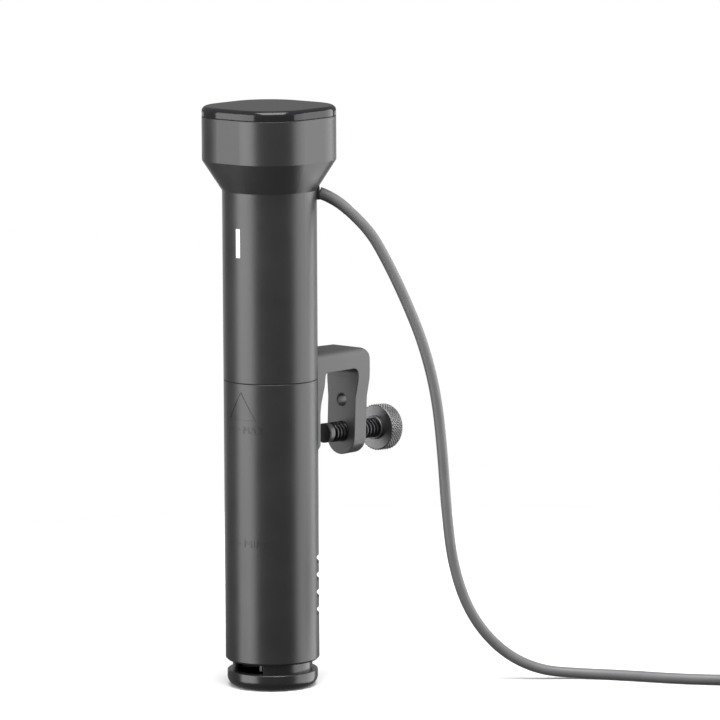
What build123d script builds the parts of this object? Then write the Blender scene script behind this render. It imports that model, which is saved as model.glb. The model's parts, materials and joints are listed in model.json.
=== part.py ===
from build123d import *

import math
import os

# A sous vide circulator, in millimetres. The origin is the centre of the foot's underside. +Z is up,
# -Y is the front, where the light bar is, and +Y is the back, where the pot clamp is. The mains cord
# leaves the back right corner of the body.

# Body
TUBE_R = 28.0
WALL = 2.0
SEAM_Z = 184.4
FLARE_Z = 297.0
HEAD_Z = 315.0
CAP_Z = 341.0
TOP_Z = 347.0
HEAD_HALF = 36.0
HEAD_CORNER_R = 27.0
CAP_EDGE_R = 3.2
SLACK = 0.1
SEAM_CHAMFER = 0.35

# Spigot, skirt and bulkhead
SKIRT_Z = 16.0
SKIRT_BORE_R = 26.2
SPIGOT_Z = 172.0
SPIGOT_R = 26.1
SPIGOT_BORE_R = 24.0
BULKHEAD_Z = 158.0
BULKHEAD_TOP_Z = 170.0
SLOT_Z = (45.3, 55.7, 66.1, 76.5)
SLOT_HIGH = 4.5
SLOT_HALF_ANGLE = 66.0
INLET_FROM_Z = 41.0
INLET_TO_Z = 81.0

# Foot
FOOT_R = 27.0
FOOT_TOP_Z = 10.0
FOOT_EDGE_R = 6.0
NECK_R = 23.75
NECK_BORE_R = 21.9
NECK_TOP_Z = 22.0
OUTLET_HALF_ANGLE = 28.0
OUTLET_TOP_Z = 17.2
LUG_ANGLES = (90.0, 210.0, 330.0)
FOOT_TWIST = 35.0

# Light bar
BAR_WIDE = 3.0
BAR_HIGH = 17.0
BAR_Z = 267.5

# Clamp
CLAMP_TOP_Z = 198.2
CLAMP_HALF = 12.5
TONGUE_HALF = 10.9
TONGUE_Z = 131.4
JAW_Y = 32.0
LEG_IN_Y = 62.9
LEG_OUT_Y = 73.3
BRIDGE_FALL = 1.9
CLAMP_TILT = 2.5
SCREW_Z = 146.0
SCREW_R = 6.0
RUNNING_GAP = 0.05
PAD_Y = 46.5
PAD_R = 5.9
PAD_LONG = 5.0
KNOB_Y = 94.4
KNOB_R = 14.2
KNOB_LONG = 10.0
FIXING_Z = 164.4
ACCESS_R = 3.85

# Drive
SHAFT_R = 2.0
SHAFT_Z = 12.0
COUPLING_Z = 184.0
MOTOR_Z = 200.5
MOTOR_R = 18.0
MOTOR_LONG = 40.0
IMPELLER_R = 19.0
BLADES = 6

# Heater
HEATER_R = 2.5
HEATER_COIL_R = 15.5
HEATER_LEG_R = 9.5
HEATER_Z = 60.0
HEATER_PITCH = 9.0
HEATER_TURNS = 9
HEATER_END_Z = 178.0

# Mains cord: it leaves along the diagonal between +X and +Y.
CORD_R = 3.15
CORD_ANGLE = 45.0
GLAND_Z = 294.7
GLAND_R = 4.1
GLAND_OUT = 29.6
RELIEF_LONG = 20.0
RELIEF_FROM = -20.0
RELIEF_TO = -44.0
RELIEF_R = 3.6
# The stretch that hangs, as (distance out from the body's axis, height).
CORD_DROP = [
    (58.0, 273.8), (69.0, 254.5), (80.5, 230.0), (91.0, 203.5), (98.5, 173.0), (102.0, 139.0),
    (104.2, 104.0), (108.0, 70.0), (118.0, 40.5), (136.0, 18.0), (159.0, 5.5), (185.0, CORD_R),
]
# The stretch on the floor, as (x, y).
CORD_FLOOR = [(154.5, 143.2), (185.0, 154.4), (214.6, 171.9)]
# The coil of spare cord: its centre, the mean radius of its two rings of turns, and its layers.
COIL_X = 219.5
COIL_Y = 226.8
COIL_RADII = (38.5, 32.0)
COIL_LAYERS = 2
COIL_ENTRY_ANGLE = -48.0
COIL_EXIT_ANGLE = 42.0
# The tail from the coil to the plug, as (x, y, z).
CORD_TAIL = [(236.5, 266.2, 9.5), (222.6, 277.6, 9.9), (207.4, 284.0, 10.2)]

# Plug
PLUG_AXIS_Z = 10.2
PLUG_RELIEF_LONG = 24.0
PLUG_LONG = 30.0
PLUG_WIDE = 27.0
BLADE_LONG = 16.0
BLADE_WIDE = 6.35
BLADE_THICK = 1.5
BLADE_SPACING = 12.7
EARTH_R = 2.4
EARTH_LONG = 19.0
EARTH_DROP = 11.9


def cylinder(radius, low, high, x=0.0, y=0.0):
    """An upright cylinder between two heights."""
    return Pos(x, y, (low + high) / 2) * Cylinder(radius, high - low)


def ring(outer, inner, low, high, x=0.0, y=0.0):
    """An upright ring between two heights."""
    return cylinder(outer, low, high, x, y) - cylinder(inner, low - 1, high + 1, x, y)


def block(low, high):
    """A box between two corners."""
    size = [high[i] - low[i] for i in range(3)]
    centre = [(high[i] + low[i]) / 2 for i in range(3)]
    return Pos(*centre) * Box(*size)


def rod_y(radius, near, far, z, x=0.0):
    """A cylinder along Y."""
    return Pos(x, (near + far) / 2, z) * Rot(90, 0, 0) * Cylinder(radius, far - near)


def on_screw(shape):
    """Tilts a shape about the pad's middle: the clamp's spindle falls a little towards its knob."""
    return Pos(0, PAD_Y, SCREW_Z) * Rot(-CLAMP_TILT, 0, 0) * Pos(0, -PAD_Y, -SCREW_Z) * shape


def leg_corner(y, z):
    """The same tilt for a corner of the clamp's side outline."""
    turn = math.radians(CLAMP_TILT)
    out = y - PAD_Y
    up = z - SCREW_Z
    return PAD_Y + out * math.cos(turn) + up * math.sin(turn), SCREW_Z - out * math.sin(turn) + up * math.cos(turn)


def polar(radius, angle):
    """The x and y of a point at a radius and an angle in degrees."""
    turn = math.radians(angle)
    return radius * math.cos(turn), radius * math.sin(turn)


def sector(radius, half_angle, middle, low, high):
    """A wedge of a disc, centred on one direction."""
    reach = radius / math.cos(math.radians(half_angle / 2))
    angles = (middle - half_angle, middle - half_angle / 2, middle, middle + half_angle / 2,
              middle + half_angle)
    corners = [(0, 0)] + [polar(reach, a) for a in angles]
    return extrude(Plane.XY.offset(low) * Polygon(*corners, align=None), high - low)


def square_wire(half, corner_r, z):
    """A square with large round corners, as four sides and four arcs."""
    flat = half - corner_r
    edges = []
    for turn in range(4):
        spin = Rot(0, 0, 90 * turn)
        edges.append(spin * Line((half, -flat, z), (half, flat, z)))
        edges.append(spin * CenterArc((flat, flat, z), corner_r, 0, 90))
    return Wire(edges)


def round_wire(radius, z, half_angle):
    """A circle cut into the same eight stretches as the square wire, so that a loft stays straight."""
    edges = []
    for turn in range(4):
        middle = 90 * turn
        edges.append(CenterArc((0, 0, z), radius, middle - half_angle, 2 * half_angle))
        edges.append(CenterArc((0, 0, z), radius, middle + half_angle, 90 - 2 * half_angle))
    return Wire(edges)


def square_prism(half, corner_r, low, high):
    """An upright prism on the square wire."""
    return extrude(Face(square_wire(half, corner_r, low)), high - low)


def body_shape(inset, bottom, top):
    """The tube, flare and head as one solid, drawn in by an inset."""
    half = HEAD_HALF - inset
    corner_r = HEAD_CORNER_R - inset
    half_angle = math.degrees(math.atan2(half - corner_r, half))
    tube = cylinder(TUBE_R - inset, bottom, FLARE_Z)
    wires = [round_wire(TUBE_R - inset, FLARE_Z, half_angle), square_wire(half, corner_r, HEAD_Z)]
    flare = Solid.make_loft(wires, ruled=True)
    return tube + flare + square_prism(half, corner_r, HEAD_Z, top)


def gland_frame():
    """A plane at the body's axis whose normal points out along the cord's exit."""
    out = Vector(*polar(1, CORD_ANGLE), 0)
    return Plane(origin=(0, 0, GLAND_Z), x_dir=(-out.Y, out.X, 0), z_dir=out)


def gland_cylinder(radius, near, far):
    """A cylinder along the cord's exit."""
    return gland_frame() * (Pos(0, 0, (near + far) / 2) * Cylinder(radius, far - near))


# ---------------------------------------------------------------- casing

HOUSING_SCREW_R = 21.6
HOUSING_SCREW_ANGLES = (30.0, 150.0, 270.0)


def upper_housing():
    """The one-piece upper shell: tube, flare and head, with the spigot that enters the skirt."""
    solid = body_shape(0, SEAM_Z, CAP_Z)
    solid = chamfer(solid.edges().group_by(Axis.Z)[0], SEAM_CHAMFER)
    solid = chamfer(solid.edges().group_by(Axis.Z)[-1], SEAM_CHAMFER)
    shell = solid - body_shape(WALL, SEAM_Z - 1, CAP_Z + 1)
    spigot = ring(SPIGOT_R, SPIGOT_BORE_R, SPIGOT_Z, SEAM_Z + 3)
    spigot += ring(TUBE_R - 1, SPIGOT_BORE_R, SEAM_Z, SEAM_Z + 3)
    spigot -= ring(TUBE_R, SPIGOT_R - 1.1, 176, 178)
    shell += spigot
    for angle in HOUSING_SCREW_ANGLES:
        x, y = polar(HOUSING_SCREW_R, angle)
        post = cylinder(3.2, SPIGOT_Z - 2, SEAM_Z + 3, x, y) & cylinder(SPIGOT_BORE_R + 1, 160, 200)
        shell += post
        shell -= cylinder(1.3, SPIGOT_Z - 3, SEAM_Z + 1, x, y)
    shell -= block((-BAR_WIDE / 2 - SLACK / 2, -TUBE_R - 1, BAR_Z - BAR_HIGH / 2 - SLACK / 2),
                   (BAR_WIDE / 2 + SLACK / 2, -20, BAR_Z + BAR_HIGH / 2 + SLACK / 2))
    shell -= gland_cylinder(GLAND_R + SLACK / 2, 20, 40)
    shell -= rod_y(1.7, 20, 30, CLAMP_TOP_Z - 6)
    return shell


def top_cover():
    """The gloss cap over the display, with a lip that sits inside the housing."""
    lip_half = HEAD_HALF - WALL - SLACK
    lip_r = HEAD_CORNER_R - WALL - SLACK
    cap = square_prism(HEAD_HALF, HEAD_CORNER_R, CAP_Z, TOP_Z)
    cap = fillet(cap.edges().group_by(Axis.Z)[-1], CAP_EDGE_R)
    cap = chamfer(cap.edges().group_by(Axis.Z)[0], SEAM_CHAMFER)
    cap += square_prism(lip_half, lip_r, CAP_Z - 4, CAP_Z)
    cap -= square_prism(lip_half - 1.5, lip_r - 1.5, CAP_Z - 5, TOP_Z - WALL)
    for x in (-22, 22):
        for y in (-22, 22):
            cap += cylinder(2.4, BOARD_Z + BOARD_THICK, TOP_Z - WALL + 0.5, x, y)
            cap -= cylinder(1.0, BOARD_Z, TOP_Z - WALL - 1, x, y)
    return cap


def light_bar_lens():
    """The white light pipe: a bar flush with the tube, and a wider foot behind the wall."""
    half_high = BAR_HIGH / 2
    bar = block((-BAR_WIDE / 2, -TUBE_R - 1, BAR_Z - half_high), (BAR_WIDE / 2, -20, BAR_Z + half_high))
    bar &= ring(TUBE_R, TUBE_R - WALL - 1, BAR_Z - 20, BAR_Z + 20)
    foot = block((-3, -30, BAR_Z - half_high - 1.5), (3, -20, BAR_Z + half_high + 1.5))
    foot &= ring(TUBE_R - WALL - SLACK, TUBE_R - WALL - 1.4, BAR_Z - 20, BAR_Z + 20)
    return bar + foot


def whole_skirt():
    """The lower tube that stands in the water, with four intake slots and the foot's bayonet rim."""
    skirt = ring(TUBE_R, SKIRT_BORE_R, SKIRT_Z, SEAM_Z)
    skirt = chamfer(skirt.edges().group_by(Axis.Z)[0].sort_by(SortBy.RADIUS)[-1:], 1.2)
    skirt = chamfer(skirt.edges().group_by(Axis.Z)[-1].sort_by(SortBy.RADIUS)[-1:], SEAM_CHAMFER)
    for z in SLOT_Z:
        low = z - SLOT_HIGH / 2
        high = z + SLOT_HIGH / 2
        cut = sector(TUBE_R + 2, SLOT_HALF_ANGLE, 90, low, high) - cylinder(TUBE_R - 8, low - 1, high + 1)
        skirt -= cut
    rim = ring(SKIRT_BORE_R + 0.5, NECK_R + 0.3, SKIRT_Z + 0.4, SKIRT_Z + 3)
    for angle in LUG_ANGLES:
        rim -= sector(SKIRT_BORE_R - 0.3, 13, angle + FOOT_TWIST, SKIRT_Z - 1, SKIRT_Z + 4)
    skirt += rim
    return skirt - rod_y(1.7, 20, 30, FIXING_Z)


def skirt_between(low, high):
    """A stretch of the skirt: it is one moulding, kept as a few solids of simple shape."""
    return whole_skirt() & cylinder(TUBE_R + 1, low, high)


def lower_skirt():
    return skirt_between(INLET_TO_Z, SEAM_Z + 1)


def inlet_side():
    """The space on the side of the skirt that the slots open."""
    return sector(TUBE_R + 2, SLOT_HALF_ANGLE, 90, INLET_FROM_Z - 1, INLET_TO_Z + 1)


def skirt_inlet():
    """The closed side of the slotted stretch."""
    return skirt_between(INLET_FROM_Z, INLET_TO_Z) - inlet_side()


def skirt_bands():
    """The bands above, between and below the slots."""
    return skirt_between(INLET_FROM_Z, INLET_TO_Z) & inlet_side()


def skirt_rim():
    return skirt_between(SKIRT_Z - 1, INLET_FROM_Z)


def foot_cap():
    """The twist-off foot: a round-edged disc with a hollow neck, an outlet window and three lugs."""
    foot = cylinder(FOOT_R, 0, FOOT_TOP_Z)
    foot = fillet(foot.edges().group_by(Axis.Z)[0], FOOT_EDGE_R)
    foot = fillet(foot.edges().group_by(Axis.Z)[-1], 0.8)
    foot += cylinder(NECK_R, FOOT_TOP_Z - 2, NECK_TOP_Z)
    for angle in LUG_ANGLES:
        lug = sector(NECK_R + 1.9, 10, angle, SKIRT_Z + 3.4, NECK_TOP_Z)
        foot += lug & cylinder(NECK_R + 1.9, SKIRT_Z, NECK_TOP_Z)
    foot -= cylinder(NECK_BORE_R, 3.5, NECK_TOP_Z + 1)
    outlet = sector(NECK_R + 3, OUTLET_HALF_ANGLE, -90, FOOT_TOP_Z, OUTLET_TOP_Z)
    return foot - outlet


# ---------------------------------------------------------------- clamp

BRIDGE_SCREW_Z = CLAMP_TOP_Z - 6
HOLLOW_TOP_Z = 184.6


def clamp_bracket():
    """The C-shaped hook over the pot's rim: side outline and front outline, crossed."""
    end_y = LEG_OUT_Y + 1.9
    hollow_y = LEG_IN_Y + 1.9
    side_corners = [
        ((20, CLAMP_TOP_Z), 0), ((end_y, CLAMP_TOP_Z - BRIDGE_FALL), 8), ((end_y, 181), 16),
        (leg_corner(LEG_OUT_Y, 169), 16), (leg_corner(LEG_OUT_Y, TONGUE_Z), 0),
        (leg_corner(LEG_IN_Y, TONGUE_Z), 0), (leg_corner(LEG_IN_Y, 168), 16), ((hollow_y, 178), 8),
        ((hollow_y, HOLLOW_TOP_Z), 4), ((35.4, HOLLOW_TOP_Z), 2), ((JAW_Y, 160), 20), ((JAW_Y, 141), 3),
        ((28.6, 136.3), 1), ((20, 136.3), 0),
    ]
    front_corners = [
        ((-CLAMP_HALF, CLAMP_TOP_Z), 6.5), ((CLAMP_HALF, CLAMP_TOP_Z), 6.5), ((CLAMP_HALF, 177), 14),
        ((TONGUE_HALF, 166), 14), ((TONGUE_HALF, TONGUE_Z), TONGUE_HALF - 0.05),
        ((-TONGUE_HALF, TONGUE_Z), TONGUE_HALF - 0.05), ((-TONGUE_HALF, 166), 14),
        ((-CLAMP_HALF, 177), 14),
    ]

    def outline(plane, corners):
        wire = FilletPolyline(*[p for p, r in corners], radius=[r for p, r in corners], close=True)
        return plane * Face(Wire(wire.edges()))

    side = extrude(outline(Plane.YZ, side_corners), CLAMP_HALF + 1, both=True)
    front = extrude(outline(Plane.XZ, front_corners), 90, dir=(0, 1, 0))
    bracket = side & front
    bracket -= cylinder(TUBE_R + RUNNING_GAP, 120, 210)
    bracket -= on_screw(rod_y(SCREW_R + RUNNING_GAP, 55, 85, SCREW_Z))
    bracket -= rod_y(ACCESS_R, 55, 85, FIXING_Z)
    bracket -= rod_y(1.7, 20, 40, FIXING_Z)
    bracket -= rod_y(3.1, JAW_Y - 1.6, 45, FIXING_Z)
    bracket -= rod_y(1.3, 20, 41, BRIDGE_SCREW_Z)
    return bracket


def clamp_fixing_screws():
    """One screw through the inner leg into the bulkhead, and one from inside into the bridge."""
    outer = rod_y(1.6, 19, JAW_Y - 1.6, FIXING_Z) + rod_y(2.9, JAW_Y - 1.6, JAW_Y - 0.2, FIXING_Z)
    outer -= Pos(0, JAW_Y - 0.2, FIXING_Z) * Box(0.9, 1.4, 4.0)
    outer -= Pos(0, JAW_Y - 0.2, FIXING_Z) * Box(4.0, 1.4, 0.9)
    inner = rod_y(1.25, 25.3, 40, BRIDGE_SCREW_Z) + rod_y(2.9, 23.3, 25.3, BRIDGE_SCREW_Z)
    return Compound([outer, inner])


def clamp_screw():
    """The clamp's spindle, with a reduced nose and a small head that the swivel holds."""
    nose_y = PAD_Y + 1.6
    spindle = rod_y(SCREW_R, PAD_Y + PAD_LONG + 1.3, KNOB_Y + KNOB_LONG - 2, SCREW_Z)
    spindle = chamfer(spindle.edges().group_by(Axis.Y)[0], 0.8)
    spindle += rod_y(3.0, nose_y, PAD_Y + PAD_LONG + 2, SCREW_Z)
    return on_screw(spindle + rod_y(4.0, nose_y, nose_y + 1.4, SCREW_Z))


def pad_swivel():
    """The cup on the spindle's nose."""
    cup = rod_y(PAD_R, PAD_Y + 1.4, PAD_Y + PAD_LONG, SCREW_Z)
    cup = fillet(cup.edges().group_by(Axis.Y)[-1], 0.5)
    cup -= rod_y(3.0 + RUNNING_GAP, PAD_Y, PAD_Y + PAD_LONG + 1, SCREW_Z)
    return on_screw(cup - rod_y(4.0 + RUNNING_GAP, PAD_Y, PAD_Y + 3.05, SCREW_Z))


def clamp_pad():
    """The rubber disc that presses on the pot."""
    pad = rod_y(PAD_R, PAD_Y, PAD_Y + 1.4, SCREW_Z)
    return on_screw(fillet(pad.edges().group_by(Axis.Y)[0], 0.5))


def clamp_knob():
    """The round knob and its collar, on the spindle's outer end."""
    knob = rod_y(KNOB_R, KNOB_Y, KNOB_Y + KNOB_LONG, SCREW_Z)
    knob = chamfer(knob.edges(), 0.9)
    knob += rod_y(7.2, KNOB_Y - 2.5, KNOB_Y + 1, SCREW_Z)
    return on_screw(knob - rod_y(SCREW_R, KNOB_Y - 10, KNOB_Y + KNOB_LONG - 2, SCREW_Z))


# ---------------------------------------------------------------- head electronics

BOARD_Z = 335.5
BOARD_THICK = 1.6
DISPLAY_TOP_Z = TOP_Z - WALL - 0.1


def display_board():
    """The circuit board under the cap, with holes for its four screws."""
    board = square_prism(29, 20, BOARD_Z, BOARD_Z + BOARD_THICK)
    for x in (-22, 22):
        for y in (-22, 22):
            board -= cylinder(1.3, BOARD_Z - 1, BOARD_Z + 3, x, y)
    return board


def display_module():
    """The numeric display, between the board and the cap."""
    return block((-16, -4, BOARD_Z + BOARD_THICK), (16, 14, DISPLAY_TOP_Z))


def touch_springs():
    """Four coil contacts that carry the touch keys up to the cap, as plain columns."""
    columns = []
    for x in (-15, -5, 5, 15):
        columns.append(cylinder(3, BOARD_Z + BOARD_THICK, DISPLAY_TOP_Z, x, -15))
    return Compound(columns)


def board_screws():
    """The display board's four screws."""
    screws = []
    for x in (-22, 22):
        for y in (-22, 22):
            head = cylinder(2.2, BOARD_Z - 1.5, BOARD_Z, x, y)
            screws.append(head + cylinder(0.95, BOARD_Z - 1, TOP_Z - WALL - 2, x, y))
    return Compound(screws)


def buzzer():
    """The sounder under the display board."""
    return ring(6, 1, BOARD_Z - 7, BOARD_Z, 10, 10)


def light_bar_board():
    """The narrow board with the status lights, behind the light pipe."""
    board = block((-3.5, -23.6, BAR_Z - 12), (3.5, -22.6, BAR_Z + 12))
    for step in (-1, 0, 1):
        z = BAR_Z + 5 * step
        board += block((-1.4, -24.1, z - 1.4), (1.4, -23.5, z + 1.4))
    return board


# ---------------------------------------------------------------- power electronics

CHASSIS_Z = MOTOR_Z + MOTOR_LONG + 3.0
CHASSIS_TOP_Z = 310.0
POWER_BOARD_Y = 6.0
POWER_BOARD_HALF = 20.0


def inner_chassis():
    """The moulded frame that holds the power board above the motor."""
    frame = ring(TUBE_R - WALL - 0.2, 20.5, CHASSIS_Z, CHASSIS_Z + 3)
    for side in (-1, 1):
        x_low, x_high = sorted((side * (POWER_BOARD_HALF + 0.2), side * 24.0))
        frame += block((x_low, POWER_BOARD_Y - 4, CHASSIS_Z), (x_high, POWER_BOARD_Y + 3, CHASSIS_TOP_Z))
        for z in (256.0, 300.0):
            tab_low, tab_high = sorted((side * 15.0, side * 21.0))
            frame += block((tab_low, POWER_BOARD_Y + 1.6, z), (tab_high, POWER_BOARD_Y + 3, z + 6))
    return frame & cylinder(TUBE_R - WALL - 0.2, CHASSIS_Z - 1, CHASSIS_TOP_Z + 1)


def power_board():
    """The mains circuit board."""
    return block((-POWER_BOARD_HALF, POWER_BOARD_Y, CHASSIS_Z + 3.5),
                 (POWER_BOARD_HALF, POWER_BOARD_Y + 1.6, CHASSIS_TOP_Z))


def on_power_board(x_low, x_high, depth, z_low, z_high):
    """A block on the front face of the power board."""
    return block((x_low, POWER_BOARD_Y - depth, z_low), (x_high, POWER_BOARD_Y, z_high))


def power_relay():
    return on_power_board(-18, -3, 15, 250, 270)


def filter_capacitor():
    return on_power_board(-17, 1, 12, 290, 305)


def transformer():
    """The small supply transformer: a core with a bobbin through it."""
    core = on_power_board(-16, 4, 14, 273, 287)
    return core + on_power_board(-13, 1, 17, 275, 285)


def triac_heatsink():
    """The aluminium fins on the heater's switch."""
    sink = on_power_board(6, 18, 16, 262, 292)
    for z in (266, 271, 276, 281, 286):
        sink -= on_power_board(5, 19, 20, z, z + 2.5) - on_power_board(5, 19, 4, z - 1, z + 4)
    return sink


def terminal_block():
    """Where the mains leads and heater leads are screwed down."""
    terminal = on_power_board(4, 18, 10, 296, 306)
    for x in (7.5, 14.5):
        terminal -= rod_y(1.6, POWER_BOARD_Y - 12, POWER_BOARD_Y - 5, 301, x)
    return terminal


# ---------------------------------------------------------------- bulkhead and wet parts

PROBE = (21.3, 200.0)
ELECTRODES = ((21.3, 235.0, 88.0), (21.3, 305.0, 150.0))
SEAL_R = 6.0


def bulkhead():
    """The sealed floor between the dry upper half and the wet skirt."""
    plate = cylinder(SKIRT_BORE_R - SLACK, BULKHEAD_Z, BULKHEAD_TOP_Z)
    plate -= ring(30, SKIRT_BORE_R - 1.5, 167, 169)
    plate -= cylinder(SHAFT_R + 0.5, BULKHEAD_Z - 1, BULKHEAD_TOP_Z + 1)
    plate -= cylinder(SEAL_R + RUNNING_GAP, BULKHEAD_Z + 4, BULKHEAD_TOP_Z + 1)
    for radius in (HEATER_COIL_R, HEATER_LEG_R):
        plate -= cylinder(HEATER_R + RUNNING_GAP, BULKHEAD_Z - 1, BULKHEAD_TOP_Z + 1, radius)
    x, y = polar(*PROBE)
    plate -= cylinder(2.0 + RUNNING_GAP, BULKHEAD_Z - 1, BULKHEAD_TOP_Z + 1, x, y)
    for radius, angle, _ in ELECTRODES:
        x, y = polar(radius, angle)
        plate -= cylinder(1.5 + RUNNING_GAP, BULKHEAD_Z - 1, BULKHEAD_TOP_Z + 1, x, y)
    for angle in HOUSING_SCREW_ANGLES:
        x, y = polar(HOUSING_SCREW_R, angle)
        plate -= cylinder(1.6, BULKHEAD_Z - 1, BULKHEAD_TOP_Z + 1, x, y)
        plate -= cylinder(2.8, BULKHEAD_Z - 1, BULKHEAD_Z + 3, x, y)
    plate -= rod_y(1.6, 18, 30, FIXING_Z)
    return plate


def housing_screws():
    """Three long screws that pull the bulkhead up to the housing."""
    screws = []
    for angle in HOUSING_SCREW_ANGLES:
        x, y = polar(HOUSING_SCREW_R, angle)
        head = cylinder(2.7, BULKHEAD_Z + 0.4, BULKHEAD_Z + 3, x, y)
        screws.append(head + cylinder(1.25, BULKHEAD_Z + 1, SEAM_Z, x, y))
    return Compound(screws)


def bulkhead_seal():
    return ring(SKIRT_BORE_R - 0.02, SKIRT_BORE_R - 1.45, 167.1, 168.9)


def skirt_seal():
    return ring(SKIRT_BORE_R - 0.02, SPIGOT_R - 1.05, 176.1, 177.9)


def shaft_seal():
    """The lip seal round the drive shaft."""
    return ring(SEAL_R, SHAFT_R + RUNNING_GAP, BULKHEAD_Z + 4.1, BULKHEAD_TOP_Z - 1)


def heater_coil():
    """The sheathed heating element: a coil round the shaft, with both legs up to the bulkhead."""
    path = Pos(0, 0, HEATER_Z) * Helix(HEATER_PITCH, HEATER_PITCH * HEATER_TURNS, HEATER_COIL_R)
    section = Plane(origin=path @ 0, z_dir=path % 0) * Circle(HEATER_R)
    coil = sweep(section, path=path, is_frenet=True)
    top_z = HEATER_Z + HEATER_PITCH * HEATER_TURNS
    elbows = [(HEATER_COIL_R, top_z), (HEATER_COIL_R, HEATER_Z), (HEATER_LEG_R, HEATER_Z)]
    for radius, z in elbows:
        coil += Pos(radius, 0, z) * Sphere(HEATER_R)
    coil += cylinder(HEATER_R, top_z, HEATER_END_Z, HEATER_COIL_R)
    coil += cylinder(HEATER_R, HEATER_Z, HEATER_END_Z, HEATER_LEG_R)
    across = Pos((HEATER_COIL_R + HEATER_LEG_R) / 2, 0, HEATER_Z) * Rot(0, 90, 0)
    return coil + across * Cylinder(HEATER_R, HEATER_COIL_R - HEATER_LEG_R)


def heater_terminals():
    """The two flat tabs on top of the heater's legs."""
    tabs = []
    for radius in (HEATER_COIL_R, HEATER_LEG_R):
        tabs.append(block((radius - 0.4, -2.4, HEATER_END_Z), (radius + 0.4, 2.4, HEATER_END_Z + 5)))
    return Compound(tabs)


def temperature_probe():
    """The closed steel tube of the water sensor."""
    x, y = polar(*PROBE)
    probe = cylinder(2.0, 50, BULKHEAD_TOP_Z + 6, x, y)
    return fillet(probe.edges().group_by(Axis.Z)[0], 1.6)


def level_electrodes():
    """Two rods that feel the lowest and the highest water level."""
    rods = []
    for radius, angle, low in ELECTRODES:
        x, y = polar(radius, angle)
        rods.append(cylinder(1.5, low, BULKHEAD_TOP_Z + 4, x, y))
    return Compound(rods)


def thermal_cutout():
    """The safety cut-out that sits on the bulkhead."""
    return cylinder(5, BULKHEAD_TOP_Z, BULKHEAD_TOP_Z + 4, -13, 2)


def bearing_bridge():
    """The three-armed bridge that holds the shaft's lower bush."""
    bridge = ring(SKIRT_BORE_R - SLACK, SKIRT_BORE_R - 2, 27, 31) + cylinder(5.5, 26, 33)
    for angle in (30, 150, 270):
        arm = block((4, -1.6, 27), (SKIRT_BORE_R - 1, 1.6, 31))
        bridge += Rot(0, 0, angle) * arm
    return bridge - cylinder(4, 25, 34)


def shaft_bush():
    return ring(3.98, SHAFT_R + RUNNING_GAP, 26, 33)


# ---------------------------------------------------------------- motor and pump

def motor_mount():
    """The plate across the housing that carries the motor."""
    plate = ring(TUBE_R - WALL - 0.2, 7.5, MOTOR_Z - 2.5, MOTOR_Z)
    for x in (-12, 12):
        plate -= cylinder(1.6, MOTOR_Z - 4, MOTOR_Z + 1, x, 0)
    return plate


def motor_screws():
    screws = []
    for x in (-12, 12):
        head = cylinder(2.6, MOTOR_Z - 4.2, MOTOR_Z - 2.5, x, 0)
        screws.append(head + cylinder(1.5, MOTOR_Z - 3, MOTOR_Z + 1.9, x, 0))
    return Compound(screws)


def motor_can():
    """The drawn steel can, closed below and open above."""
    can = cylinder(MOTOR_R, MOTOR_Z, MOTOR_Z + MOTOR_LONG - 2)
    can -= cylinder(MOTOR_R - 1.4, MOTOR_Z + 2, MOTOR_Z + MOTOR_LONG)
    can -= cylinder(5.02, MOTOR_Z - 1, MOTOR_Z + 3)
    for x in (-12, 12):
        can -= cylinder(1.55, MOTOR_Z - 1, MOTOR_Z + 3, x, 0)
    return can


def motor_end_cap():
    """The motor's upper lid, with its bearing seat and two terminals."""
    lid = cylinder(MOTOR_R, MOTOR_Z + MOTOR_LONG - 2, MOTOR_Z + MOTOR_LONG)
    lid -= cylinder(5.02, MOTOR_Z + MOTOR_LONG - 3, MOTOR_Z + MOTOR_LONG + 1)
    for x in (-11, 11):
        top = MOTOR_Z + MOTOR_LONG + 2.5
        lid += block((x - 0.4, -1.5, MOTOR_Z + MOTOR_LONG - 1), (x + 0.4, 1.5, top))
    return lid


def motor_stator():
    """The ring of magnets inside the can."""
    return ring(MOTOR_R - 1.45, 13.4, MOTOR_Z + 6, MOTOR_Z + MOTOR_LONG - 6)


def motor_bearings():
    """Two plain bearings, one in the can and one in its lid."""
    lower = ring(5, SHAFT_R + RUNNING_GAP, MOTOR_Z - 1.5, MOTOR_Z + 2.5)
    upper = ring(5, SHAFT_R + RUNNING_GAP, MOTOR_Z + MOTOR_LONG - 2.5, MOTOR_Z + MOTOR_LONG + 1)
    return Compound([lower, upper])


def motor_rotor():
    """The slotted armature on the motor's own shaft."""
    rotor = cylinder(12.8, MOTOR_Z + 7, MOTOR_Z + MOTOR_LONG - 7)
    for turn in range(8):
        x, y = polar(13.2, 45 * turn)
        rotor -= cylinder(1.6, MOTOR_Z, MOTOR_Z + MOTOR_LONG, x, y)
    return rotor + cylinder(SHAFT_R, COUPLING_Z + 6.2, MOTOR_Z + MOTOR_LONG + 2)


def shaft_coupling():
    """The sleeve that joins the motor's shaft to the drive shaft."""
    sleeve = cylinder(5.5, COUPLING_Z, COUPLING_Z + 12)
    return sleeve - cylinder(SHAFT_R, COUPLING_Z - 1, COUPLING_Z + 13)


def drive_shaft():
    """The long shaft from the coupling to the impeller."""
    return cylinder(SHAFT_R, SHAFT_Z, COUPLING_Z + 5.8)


def impeller():
    """A disc with swept-back blades below it, on the shaft's lower end."""
    wheel = cylinder(IMPELLER_R, 17.4, 18.8) + cylinder(5, 11, 20.5)
    for turn in range(BLADES):
        blade = block((4, -0.8, 11), (IMPELLER_R - 1, 0.8, 17.8))
        wheel += Rot(0, 0, 360 / BLADES * turn) * (Rot(0, 0, -18) * Pos(0, 2.2, 0) * blade)
    wheel &= cylinder(IMPELLER_R, 10, 21)
    return wheel - cylinder(SHAFT_R, SHAFT_Z, 22)


# ---------------------------------------------------------------- mains cord

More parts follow.
